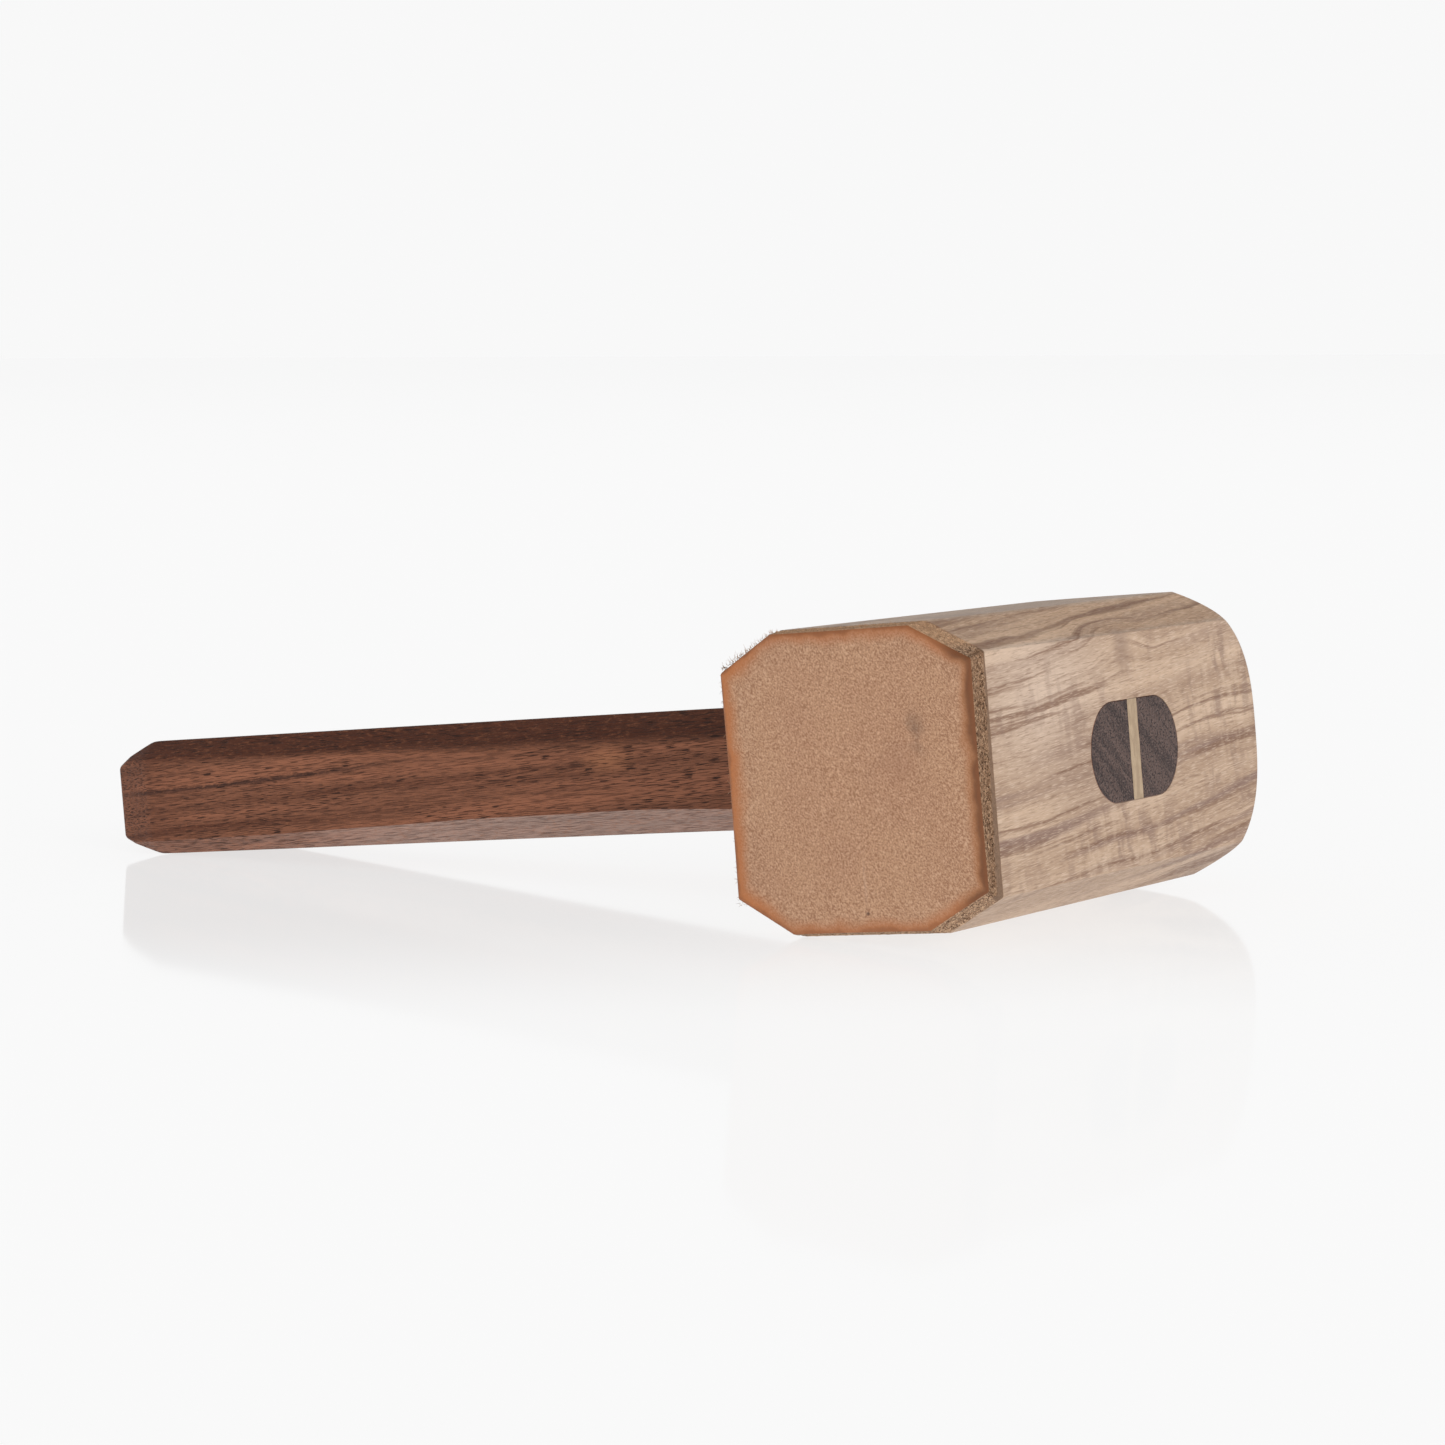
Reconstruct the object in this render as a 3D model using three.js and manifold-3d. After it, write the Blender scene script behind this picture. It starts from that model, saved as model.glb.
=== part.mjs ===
// Joiner's mallet with one leather-faced end, lying on a bench.
//
// The mallet is built in its own axes and then laid down as a turned group:
//   local -X  the handle          local +X  the face the tenon shows on
//   local -Y  the leather face    local +Y  the domed bare wood face
//   local Z   across the head's thickness
// Lying down, the handle's butt and the head's lower handle-side edge touch the bench at z = 0.

import * as THREE from 'three';
import { ConvexGeometry } from 'three/addons/geometries/ConvexGeometry.js';
import { mergeVertices } from 'three/addons/utils/BufferGeometryUtils.js';
import Module from 'manifold-3d';

// Driving dimensions, in millimetres

// head: a straight bar with an eight-sided section
const headThickness = 64;
const headDepth = 60.8;
const headChamferZ = 7;
const headChamferX = 13;
const headToLeather = 63;

// head's domed end, a rounded-square swelling
const domeStart = 46.1;
const domeHeight = 26.1;
const domeHalfZ = 34.6;
const domeHalfX = 37.2;
const domeSquareness = 2.9;
const domeFlatness = 3.26;
const domeFullness = 0.83;

// leather striking pad
const leatherThickness = 5.8;
const leatherEdgeInset = 0.8;
const leatherEdgeDepth = 0.9;

// handle: a chamfered bar with a through tenon
const handleLength = 208;
const handleWidth = 42;
const handleThickness = 26;
const handleRise = 1.45; // the upper face stands this much higher on the leather side
const handleChamfer = 5.5;
const buttChamferLength = 10.5;
const buttChamferDepth = 4.3;
const tenonLength = 40.8;
const tenonThickness = 21.6;

// wedge in the tenon's saw kerf
const wedgeThickness = 4.4;
const wedgeTip = 1.2;
const wedgeDepth = 46;

// clearance between mating solids
const gap = 0.3;

const halfThickness = headThickness / 2;
const halfDepth = headDepth / 2;

const wasm = await Module();
wasm.setup();

// Solids from three.js geometry, for joining and cutting

function toSolid(geometry) {
  const bare = geometry.clone();
  bare.deleteAttribute('normal');
  bare.deleteAttribute('uv');
  const merged = mergeVertices(bare, 1e-4);
  const mesh = new wasm.Mesh({
    numProp: 3,
    vertProperties: new Float32Array(merged.attributes.position.array),
    triVerts: new Uint32Array(merged.index.array),
  });
  return new wasm.Manifold(mesh);
}

function toGeometry(solid) {
  const mesh = solid.getMesh();
  const geometry = new THREE.BufferGeometry();
  geometry.setAttribute('position', new THREE.BufferAttribute(mesh.vertProperties, 3));
  geometry.setIndex(new THREE.BufferAttribute(mesh.triVerts, 1));
  geometry.computeVertexNormals();
  return geometry;
}

// Outlines. A section lies in the plane across the piece's length.

// eight corners of a rectangle with its corners cut, as [u, v] pairs
function chamferedRectangle(halfU, halfV, cutU, cutV) {
  return [
    [halfU, halfV - cutV],
    [halfU - cutU, halfV],
    [cutU - halfU, halfV],
    [-halfU, halfV - cutV],
    [-halfU, cutV - halfV],
    [cutU - halfU, -halfV],
    [halfU - cutU, -halfV],
    [halfU, cutV - halfV],
  ];
}

// a slot with half-round ends, long in Y, extruded along X from x0 to x1
function slotAlongX(length, thickness, x0, x1) {
  const radius = thickness / 2;
  const reach = length / 2 - radius;
  const shape = new THREE.Shape();
  shape.moveTo(-reach, -radius);
  shape.lineTo(reach, -radius);
  shape.absarc(reach, 0, radius, -Math.PI / 2, Math.PI / 2, false);
  shape.lineTo(-reach, radius);
  shape.absarc(-reach, 0, radius, Math.PI / 2, 1.5 * Math.PI, false);
  const options = { depth: x1 - x0, bevelEnabled: false, curveSegments: 16 };
  const geometry = new THREE.ExtrudeGeometry(shape, options);
  const along = new THREE.Vector3(1, 0, 0);
  const wide = new THREE.Vector3(0, 1, 0);
  const high = new THREE.Vector3(0, 0, 1);
  geometry.applyMatrix4(new THREE.Matrix4().makeBasis(wide, high, along));
  geometry.translate(x0, 0, 0);
  return geometry;
}

// Head

// A sphere drawn out into the head's domed end: its northern half becomes the dome and its
// southern half a straight rounded-square bar that reaches past the leather face.
function domedBar() {
  const geometry = new THREE.SphereGeometry(1, 64, 28);
  const position = geometry.attributes.position;
  const root = 1 / domeSquareness;
  for (let i = 0; i < position.count; i += 1) {
    const x = position.getX(i);
    const y = position.getY(i);
    const z = position.getZ(i);
    const radius = Math.min(1, Math.hypot(x, z));
    const spread = (Math.abs(x) ** domeSquareness + Math.abs(z) ** domeSquareness) ** root;
    const scale = spread > 1e-6 ? radius / spread : 0;
    const swell = domeHeight * Math.max(0, 1 - radius ** domeFlatness) ** domeFullness;
    const length = y > -1e-6 ? domeStart + swell : -headToLeather - 20;
    position.setXYZ(i, x * scale * domeHalfX, length, z * scale * domeHalfZ);
  }
  return geometry;
}

function headBar() {
  const outline = chamferedRectangle(halfDepth, halfThickness, headChamferX, headChamferZ);
  const points = [];
  for (const [x, z] of outline) {
    points.push(new THREE.Vector3(x, -headToLeather, z));
    points.push(new THREE.Vector3(x, domeStart + 2 * domeHeight, z));
  }
  return new ConvexGeometry(points);
}

function head() {
  const mortise = slotAlongX(
    tenonLength + 2 * gap,
    tenonThickness + 2 * gap,
    -halfDepth - 5,
    halfDepth + 5,
  );
  const domed = toSolid(headBar()).intersect(toSolid(domedBar()));
  return toGeometry(domed.subtract(toSolid(mortise)));
}

// Leather pad, glued to the flat face

function leatherPad() {
  const back = -headToLeather - gap;
  const front = -headToLeather - leatherThickness;
  const inset = leatherEdgeInset;
  const full = chamferedRectangle(halfDepth, halfThickness, headChamferX, headChamferZ);
  const small = chamferedRectangle(
    halfDepth - inset,
    halfThickness - inset,
    headChamferX - inset / 2,
    headChamferZ - inset / 2,
  );
  const points = [];
  for (const [x, z] of full) {
    points.push(new THREE.Vector3(x, back, z));
    points.push(new THREE.Vector3(x, front + leatherEdgeDepth, z));
  }
  for (const [x, z] of small) {
    points.push(new THREE.Vector3(x, front, z));
  }
  return new ConvexGeometry(points);
}

// Handle

function handleBar() {
  const halfWidth = handleWidth / 2;
  const halfHeight = handleThickness / 2;
  const shoulder = -halfDepth - gap;
  const butt = -halfDepth - handleLength;
  const cut = handleChamfer;
  const full = chamferedRectangle(halfWidth, halfHeight, cut, cut);
  const small = chamferedRectangle(
    halfWidth - buttChamferDepth,
    halfHeight - buttChamferDepth,
    cut / 2,
    cut / 2,
  );
  const points = [];
  for (const [y, z] of full) {
    const height = y < 0 && z > 0 ? z + handleRise : z;
    points.push(new THREE.Vector3(shoulder, y, height));
    points.push(new THREE.Vector3(butt + buttChamferLength, y, height));
  }
  for (const [y, z] of small) {
    points.push(new THREE.Vector3(butt, y, z));
  }
  return new ConvexGeometry(points);
}

// A tapered blade across the tenon: thick at the tenon's end, thin where it stops. A cutting
// blade is carried on past the tenon's end.
function taperedBlade(thickEnd, thinEnd, depth, height, past = 0) {
  const outer = halfDepth;
  const shape = new THREE.Shape();
  shape.moveTo(outer - depth, -thinEnd / 2);
  shape.lineTo(outer, -thickEnd / 2);
  if (past > 0) {
    shape.lineTo(outer + past, -thickEnd / 2);
    shape.lineTo(outer + past, thickEnd / 2);
  }
  shape.lineTo(outer, thickEnd / 2);
  shape.lineTo(outer - depth, thinEnd / 2);
  shape.closePath();
  const geometry = new THREE.ExtrudeGeometry(shape, { depth: height, bevelEnabled: false });
  geometry.translate(0, 0, -height / 2);
  return geometry;
}

function handle() {
  const overlap = 6;
  const tenon = slotAlongX(tenonLength, tenonThickness, -halfDepth - overlap, halfDepth);
  const kerf = taperedBlade(
    wedgeThickness + 2 * gap,
    wedgeTip + 2 * gap,
    wedgeDepth + 1,
    tenonThickness + 4,
    5,
  );
  const joined = toSolid(handleBar()).add(toSolid(tenon));
  return toGeometry(joined.subtract(toSolid(kerf)));
}

function wedge() {
  return taperedBlade(wedgeThickness, wedgeTip, wedgeDepth, tenonThickness);
}

// Assembly

function mesh(name, geometry, colour, roughness) {
  const material = new THREE.MeshStandardMaterial({ color: colour, roughness, metalness: 0 });
  const piece = new THREE.Mesh(geometry, material);
  piece.name = name;
  return piece;
}

const mallet = new THREE.Group();
mallet.add(mesh('head', head(), 0xbfa58c, 0.5));
mallet.add(mesh('leather_pad', leatherPad(), 0xb98c6c, 0.7));
mallet.add(mesh('handle', handle(), 0x6b4434, 0.45));
mallet.add(mesh('wedge', wedge(), 0xbfa47a, 0.55));

// Laid down: the line from the head's lower handle-side edge to the start of the butt's
// chamfer, along the handle's lower face, becomes level.
const headEdgeX = halfDepth - headChamferX;
const buttEdgeX = halfDepth + handleLength - buttChamferLength;
const drop = halfThickness - handleThickness / 2;
mallet.rotation.y = -Math.atan2(drop, buttEdgeX - headEdgeX);

const laid = new THREE.Group();
laid.add(mallet);
laid.updateMatrixWorld(true);

// the frame's origin is under the middle of the object, on the bench
const extent = new THREE.Box3().setFromObject(laid, true);
const middle = extent.getCenter(new THREE.Vector3());
mallet.position.set(-middle.x, -middle.y, -extent.min.z);

export default laid;
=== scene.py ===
"""A wooden mallet lying on its side: a curly maple head with a leather face and a domed end, held on
a walnut handle by a wedged through tenon.

The mallet is made in its own axes, in millimetres, and then laid on the floor. Its origin is where the
middle line of the handle meets the middle of the head's section. -X runs down the handle, +X out through
the end of the tenon, -Y out of the leather, +Y out of the domed end, and Z through the thickness.
"""

import math
import random

import bmesh
import bpy
from mathutils import Matrix, Vector, noise


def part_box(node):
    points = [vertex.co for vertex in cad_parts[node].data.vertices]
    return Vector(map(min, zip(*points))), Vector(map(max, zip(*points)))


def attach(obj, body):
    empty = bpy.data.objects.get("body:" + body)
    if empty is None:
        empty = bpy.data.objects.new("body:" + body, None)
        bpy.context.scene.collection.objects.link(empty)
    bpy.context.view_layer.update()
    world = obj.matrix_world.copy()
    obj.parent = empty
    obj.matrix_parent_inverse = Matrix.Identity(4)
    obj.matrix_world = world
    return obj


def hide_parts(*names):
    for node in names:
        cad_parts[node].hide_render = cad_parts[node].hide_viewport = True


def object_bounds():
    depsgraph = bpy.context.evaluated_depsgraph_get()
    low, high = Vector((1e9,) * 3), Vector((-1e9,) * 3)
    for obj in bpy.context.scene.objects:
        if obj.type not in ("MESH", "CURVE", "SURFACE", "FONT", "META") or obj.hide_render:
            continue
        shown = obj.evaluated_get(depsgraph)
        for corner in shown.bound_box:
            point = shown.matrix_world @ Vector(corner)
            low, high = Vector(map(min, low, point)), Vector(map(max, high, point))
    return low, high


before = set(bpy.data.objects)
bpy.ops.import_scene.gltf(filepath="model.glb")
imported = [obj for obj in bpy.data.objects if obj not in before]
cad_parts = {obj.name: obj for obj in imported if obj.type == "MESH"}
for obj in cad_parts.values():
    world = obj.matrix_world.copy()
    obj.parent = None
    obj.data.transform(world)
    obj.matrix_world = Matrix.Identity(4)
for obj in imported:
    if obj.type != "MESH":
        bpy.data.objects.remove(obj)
cad_low, cad_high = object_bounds()

MM = 0.001
SHARP_ANGLE = math.radians(38)

HEAD_THICKNESS = 64.0
HEAD_DEPTH = 60.8
HEAD_CHAMFER_Z = 7.0
HEAD_CHAMFER_X = 13.0
HEAD_TO_LEATHER = 63.0
HEAD_EDGE = 0.45
DOME_START = 46.1
DOME_HEIGHT = 26.1
DOME_HALF_Z = 34.6
DOME_HALF_X = 37.2
DOME_SQUARENESS = 2.9
DOME_FLATNESS = 3.26
DOME_FULLNESS = 0.83

LEATHER_THICKNESS = 5.8
LEATHER_EDGE = 0.7
LEATHER_CROWN = 0.75
LEATHER_CROWN_REACH = 11.0
LEATHER_TAPER = 0.5
LEATHER_TEAR = 0.6
LEATHER_LOW_CUT = 1.1
LEATHER_HIGH_CUT = 0.6
LEATHER_LIFT = 0.4
FIBRES = 2600
FIBRE_THICKNESS = 0.11
FIBRE_ROOT = 0.3

HANDLE_LENGTH = 208.0
HANDLE_WIDTH = 42.0
HANDLE_THICKNESS = 26.0
BUTT_CHAMFER_LENGTH = 10.5
BUTT_CHAMFER_DEPTH = 4.3
BUTT_SIDE_DEPTH = 2.4
BUTT_RIM = 0.9
BUTT_WEAR = 0.9
BUTT_SOFTNESS = 0.006
HANDLE_RISE = 1.45
HANDLE_EDGE = 0.75
LEAST_CHAMFER = 0.6
TENON_LENGTH = 40.8
TENON_THICKNESS = 21.6
WEDGE_THICKNESS = 4.4
WEDGE_TIP = 1.2
WEDGE_DEPTH = 46.0
HAIRLINE = 0.07

HEAD_HALF_X = HEAD_DEPTH / 2
HEAD_HALF_Z = HEAD_THICKNESS / 2
LEATHER_FRONT = -HEAD_TO_LEATHER - LEATHER_THICKNESS
BUTT = -HEAD_HALF_X - HANDLE_LENGTH

# How the mallet lies: the low edge of the head and the low edge of the butt both touch the floor.
TILT = math.atan2(
    HEAD_HALF_Z - HANDLE_THICKNESS / 2,
    HANDLE_LENGTH - BUTT_CHAMFER_LENGTH + HEAD_CHAMFER_X,
)
pad_low, pad_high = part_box("leather_pad")
CENTRE = (Vector(pad_low) + Vector(pad_high)) / 2
CENTRE.y = pad_low[1] - LEATHER_FRONT * MM
LAY = Matrix.Translation(CENTRE) @ Matrix.Rotation(-TILT, 4, "Y")


# ---------------------------------------------------------------- outlines and meshes


def ease(value):
    """0 to 1, starting and ending gently."""
    held = min(max(value, 0.0), 1.0)
    return held * held * (3 - 2 * held)


def rounded(corners, radius, bends, sides):
    """A closed outline through the corners, each rounded in so many bends.

    sides says how many parts the straight sides are made in, over and over again round the outline.
    """
    arcs = []
    for index, corner in enumerate(corners):
        back = (corners[index - 1] - corner).normalized()
        onward = (corners[(index + 1) % len(corners)] - corner).normalized()
        half = back.angle(onward) / 2
        centre = corner + (back + onward).normalized() * (radius / math.sin(half))
        arm = corner + back * (radius / math.tan(half)) - centre
        turn = math.pi - 2 * half
        arcs.append([centre + Matrix.Rotation(turn * k / bends, 2) @ arm for k in range(bends + 1)])
    outline = []
    for index, arc in enumerate(arcs):
        following = arcs[(index + 1) % len(arcs)][0]
        parts = sides[index % len(sides)]
        outline += arc
        outline += [arc[-1].lerp(following, k / parts) for k in range(1, parts)]
    return outline


def on_head(point, inset, y):
    """A point of an (x, z) outline, moved in towards the middle and out along the strike axis."""
    kept = 1 - inset / point.length
    return Vector((point.x * kept, y, point.y * kept))


def loft(mesh, rings, close_end=True):
    """A skin over rings of points, in millimetres. Returns the vertices, ring by ring."""
    made = [[mesh.verts.new(point * MM) for point in ring] for ring in rings]
    for first, second in zip(made, made[1:]):
        for k in range(len(first)):
            mesh.faces.new((first[k - 1], first[k], second[k], second[k - 1]))
    mesh.faces.new(made[0])
    if close_end:
        mesh.faces.new(made[-1])
    return made


def fan(mesh, ring, tip):
    """Closes a ring of vertices onto one point."""
    middle = mesh.verts.new(tip * MM)
    for k in range(len(ring)):
        mesh.faces.new((ring[k - 1], ring[k], middle))


def become_object(name, mesh):
    """The finished bmesh as an object of the scene, laid as the mallet lies."""
    bmesh.ops.recalc_face_normals(mesh, faces=mesh.faces)
    mesh.transform(LAY)
    data = bpy.data.meshes.new(name)
    mesh.to_mesh(data)
    mesh.free()
    made = bpy.data.objects.new(name, data)
    bpy.context.collection.objects.link(made)
    return made


def cut_away(piece, cutter):
    """Takes the cutter out of the piece for good."""
    modifier = piece.modifiers.new("cut", "BOOLEAN")
    modifier.operation = "DIFFERENCE"
    modifier.solver = "EXACT"
    modifier.object = cutter
    bpy.context.view_layer.update()
    cut = bpy.data.meshes.new_from_object(piece.evaluated_get(bpy.context.evaluated_depsgraph_get()))
    piece.modifiers.clear()
    piece.data = cut
    bpy.data.objects.remove(cutter)


def finish_piece(piece, node, slot, *materials):
    """Shades the piece, gives it its materials, and ties it to the frame."""
    for material in materials:
        piece.data.materials.append(material)
    piece.data.polygons.foreach_set("use_smooth", [True] * len(piece.data.polygons))
    piece.data.set_sharp_from_angle(angle=SHARP_ANGLE)
    weighted = piece.modifiers.new("even shading", "WEIGHTED_NORMAL")
    weighted.keep_sharp = True
    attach(piece, "root")
    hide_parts(node)


# ---------------------------------------------------------------- head


def dome(x, z):
    """How far out the domed end stands over a point of the head's section."""
    reach = abs(x / DOME_HALF_X) ** DOME_SQUARENESS + abs(z / DOME_HALF_Z) ** DOME_SQUARENESS
    reach = reach ** (1 / DOME_SQUARENESS)
    return DOME_START + DOME_HEIGHT * max(0.0, 1 - reach**DOME_FLATNESS) ** DOME_FULLNESS


def dome_edge(point, share):
    """The rounded edge where a side of the head turns into the dome, share 0 to 1 of the way round it."""
    start = on_head(point, 0.0, dome(point.x, point.y) - 2 * HEAD_EDGE)
    corner = on_head(point, 0.0, dome(point.x, point.y))
    end = on_head(point, 2 * HEAD_EDGE, 0.0)
    end.y = dome(end.x, end.z)
    return start.lerp(corner, share).lerp(corner.lerp(end, share), share)


def head_outline(radius, bends, sides, low_cut=0.0, high_cut=0.0, lift=0.0):
    """The head's chamfered section (x, z), anticlockwise from the low end of the tenon's side.

    Its low and high chamfers can be cut so much closer in, and its low side lifted. Those on the handle's
    side are then cut steeper and not longer.
    """
    slope = math.hypot(HEAD_CHAMFER_X, HEAD_CHAMFER_Z)
    flat_x = HEAD_HALF_X - HEAD_CHAMFER_X
    low_x = flat_x + (lift * HEAD_CHAMFER_X - low_cut * slope) / HEAD_CHAMFER_Z
    low_z = HEAD_HALF_Z - HEAD_CHAMFER_Z - low_cut * slope / HEAD_CHAMFER_X
    high_x = flat_x - high_cut * slope / HEAD_CHAMFER_Z
    high_z = HEAD_HALF_Z - HEAD_CHAMFER_Z - high_cut * slope / HEAD_CHAMFER_X
    corners = [
        Vector((HEAD_HALF_X, -low_z)),
        Vector((HEAD_HALF_X, high_z)),
        Vector((high_x, HEAD_HALF_Z)),
        Vector((-flat_x, HEAD_HALF_Z)),
        Vector((-HEAD_HALF_X, high_z)),
        Vector((-HEAD_HALF_X, -low_z)),
        Vector((-flat_x, lift - HEAD_HALF_Z)),
        Vector((low_x, lift - HEAD_HALF_Z)),
    ]
    return rounded(corners, radius, bends, sides)


def make_head():
    """The maple block, from its eased edge under the leather, along its sides and over the dome."""
    side_parts = 24
    edge_parts = 4
    dome_parts = 36
    outline = head_outline(HEAD_EDGE, 4, [36, 12, 26, 12])
    near = -HEAD_TO_LEATHER
    eased = ((0.3, 0), (0.1, 0.1))
    rings = [[on_head(p, inset, near + rise) for p in outline] for inset, rise in eased]
    starts = [on_head(p, 0, near + 0.3) for p in outline]
    for step in range(side_parts):
        share = step / side_parts
        rings.append([start.lerp(dome_edge(p, 0), share) for start, p in zip(starts, outline)])
    for step in range(edge_parts + 1):
        rings.append([dome_edge(p, step / edge_parts) for p in outline])
    brim = rings[-1]
    for step in range(1, dome_parts):
        kept = 1 - (step / dome_parts) ** 1.25
        ring = [Vector((point.x * kept, 0, point.z * kept)) for point in brim]
        for point in ring:
            point.y = dome(point.x, point.z)
        rings.append(ring)
    mesh = bmesh.new()
    made = loft(mesh, rings, close_end=False)
    fan(mesh, made[-1], Vector((0, dome(0, 0), 0)))
    head = become_object("mallet_head", mesh)
    bends = 96
    past = 5.0
    cutter = bmesh.new()
    ring = [obround(math.tau * k / bends, HAIRLINE) for k in range(bends)]
    span = (-HEAD_HALF_X - past, HEAD_HALF_X + past)
    loft(cutter, [[Vector((x, y, z)) for y, z in ring] for x in span])
    cut_away(head, become_object("mortise", cutter))
    return head


# ---------------------------------------------------------------- leather


def leather_side(point, outward, depth, y):
    """A point of the pad's cut side, eaten back where the fibres have torn.

    depth runs 0 to 1 to the front. The back of the side under the tenon is sliced clean.
    """
    spot = Vector((point.x, y, point.y))
    torn = 0.14 + 0.34 * noise.noise(spot / 1.1) + 0.24 * noise.noise(spot / 0.42)
    clean = ease((point.x - HEAD_HALF_X + 3) / 2) * ease((0.5 - depth - point.y / 160) / 0.12)
    torn *= (1 - 0.85 * clean) * (1 - 0.6 * ease((depth - 0.7) / 0.3))
    back = outward * (LEATHER_TAPER * depth + min(max(torn, 0.0), LEATHER_TEAR))
    return spot - Vector((back.x, 0, back.y))


def leather_face(point, inset):
    """A point of the pad's front, crowned and very slightly uneven."""
    spot = on_head(point, inset, 0.0)
    fall = (1 - min(inset / LEATHER_CROWN_REACH, 1)) ** 2.4
    spot.y = LEATHER_FRONT + LEATHER_CROWN * fall
    spot.y += 0.05 * (1 + noise.noise(spot / 6.0))
    return spot


def leather_fibre(root, outward, length, rng):
    """The rings of one loose fibre of the cut edge: a thin bent strand that tapers away."""
    along = Vector((-outward.y, outward.x))
    lean = along * rng.uniform(-0.9, 0.9) + outward
    way = Vector((lean.x, rng.uniform(-0.5, 0.3), lean.y)).normalized()
    side = way.orthogonal().normalized()
    other = way.cross(side)
    bend = Vector((rng.uniform(-1, 1), rng.uniform(-1, 1), rng.uniform(-1, 1))) * 0.8
    quarters = [math.tau * k / 4 for k in range(4)]
    around = [side * math.cos(angle) + other * math.sin(angle) for angle in quarters]
    parts = 4
    rings = []
    for step in range(parts + 1):
        share = step / parts
        spot = root + way * (length * share) + bend * (length * share * share)
        thick = FIBRE_THICKNESS / 2 * (1.15 - share)
        rings.append([spot + arm * thick for arm in around])
    return rings


def within_cad(rings):
    """Whether rings of points of the mallet, in millimetres, all lie inside the CAD model's box."""
    placed = [LAY @ (point * MM) for ring in rings for point in ring]
    return all(low <= at <= high for spot in placed for low, at, high in zip(cad_low, spot, cad_high))


def longest_fibre(point, way):
    """How long the loose fibres grow at a point of the outline, in millimetres, and what share of them does.

    They are longest and densest on the upper chamfer beside the handle.
    """
    if point.x < -HEAD_HALF_X + HEAD_CHAMFER_X - 0.5 and way.y > 0.2:
        return 0.75
    if way.x < -0.9:
        return 0.5
    return 0.3


def add_fibres(mesh, outline, outward, back, rim):
    """Loose fibres round the pad's cut edge, from back to rim, except on its lower sides."""
    rng = random.Random(11)
    for _ in range(FIBRES):
        k = rng.randrange(len(outline))
        depth = rng.uniform(0.15, 1.0)
        longest = longest_fibre(outline[k], outward[k])
        under = outward[k].y < -0.5
        if rng.random() > longest or under:
            continue
        root = Vector((outline[k].x, back + (rim - back) * depth, outline[k].y))
        root -= Vector((outward[k].x, 0, outward[k].y)) * FIBRE_ROOT
        length = rng.uniform(0.3, 1.0) * (longest + FIBRE_ROOT)
        strand = leather_fibre(root, outward[k], length, rng)
        if not within_cad(strand):
            continue
        made = loft(mesh, strand)
        for face in {face for ring in made for vert in ring for face in vert.link_faces}:
            face.material_index = 1


def make_leather():
    """The pad: its torn cut side, its pressed rim and its crowned face, with loose fibres in the side.

    Each vertex knows how far in from the outline it stands. Slot 0 is the face and slot 1 the cut leather.
    """
    sides = [150, 46, 106, 46]
    bends = 6
    outline = head_outline(LEATHER_EDGE, bends, sides)
    cuts = (LEATHER_LOW_CUT, LEATHER_HIGH_CUT, LEATHER_LIFT)
    trimmed = head_outline(LEATHER_EDGE, bends, sides, *cuts)
    count = len(outline)
    outward = []
    for k in range(count):
        run = outline[(k + 1) % count] - outline[k - 1]
        outward.append(Vector((run.y, -run.x)).normalized())
    back = -HEAD_TO_LEATHER - 0.04
    front = LEATHER_FRONT + LEATHER_CROWN
    rim = front + 0.6
    parts = 16
    rings = []
    for step in range(parts + 1):
        depth = step / parts
        y = back + (rim - back) * depth
        line = [start.lerp(end, depth) for start, end in zip(outline, trimmed)]
        rings.append([leather_side(line[k], outward[k], depth, y) for k in range(count)])
    cut_rings = len(rings)
    rims = [0.0] * cut_rings
    for inset, rise in ((0.62, 0.36), (0.7, 0.18), (0.84, 0.07), (1.02, 0.02)):
        rings.append([on_head(p, inset, front + rise) for p in trimmed])
        rims.append(inset)
    for inset in [1.25 + 0.35 * k for k in range(10)] + [4.8 + 0.9 * k for k in range(25)]:
        rings.append([leather_face(p, inset) for p in trimmed])
        rims.append(inset)
    mesh = bmesh.new()
    rim_layer = mesh.verts.layers.float.new("rim")
    made = loft(mesh, rings, close_end=False)
    fan(mesh, made[-1], leather_face(Vector((0.01, 0.0)), 0.0))
    for ring, rim_depth in zip(made, rims):
        for vert in ring:
            vert[rim_layer] = rim_depth
    mesh.verts.ensure_lookup_table()
    mesh.verts[-1][rim_layer] = HEAD_HALF_X
    mesh.faces.ensure_lookup_table()
    cut_faces = count * (cut_rings + 1)
    glued_face = count * (len(rings) - 1)
    for face in [*mesh.faces[:cut_faces], mesh.faces[glued_face]]:
        face.material_index = 1
    add_fibres(mesh, outline, outward, back, rim)
    return become_object("leather_face_pad", mesh)


# ---------------------------------------------------------------- handle and wedge


def obround(angle, extra=0.0):
    """A point (y, z) of the tenon's outline, in the direction of the angle."""
    radius = TENON_THICKNESS / 2 + extra
    straight = (TENON_LENGTH - TENON_THICKNESS) / 2
    y = math.cos(angle)
    z = math.sin(angle)
    if abs(y) * radius <= abs(z) * straight:
        return (y * radius / abs(z), z * radius / abs(z))
    reach = abs(y) * straight + math.sqrt(radius**2 - (z * straight) ** 2)
    return (y * reach, z * reach)


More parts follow.
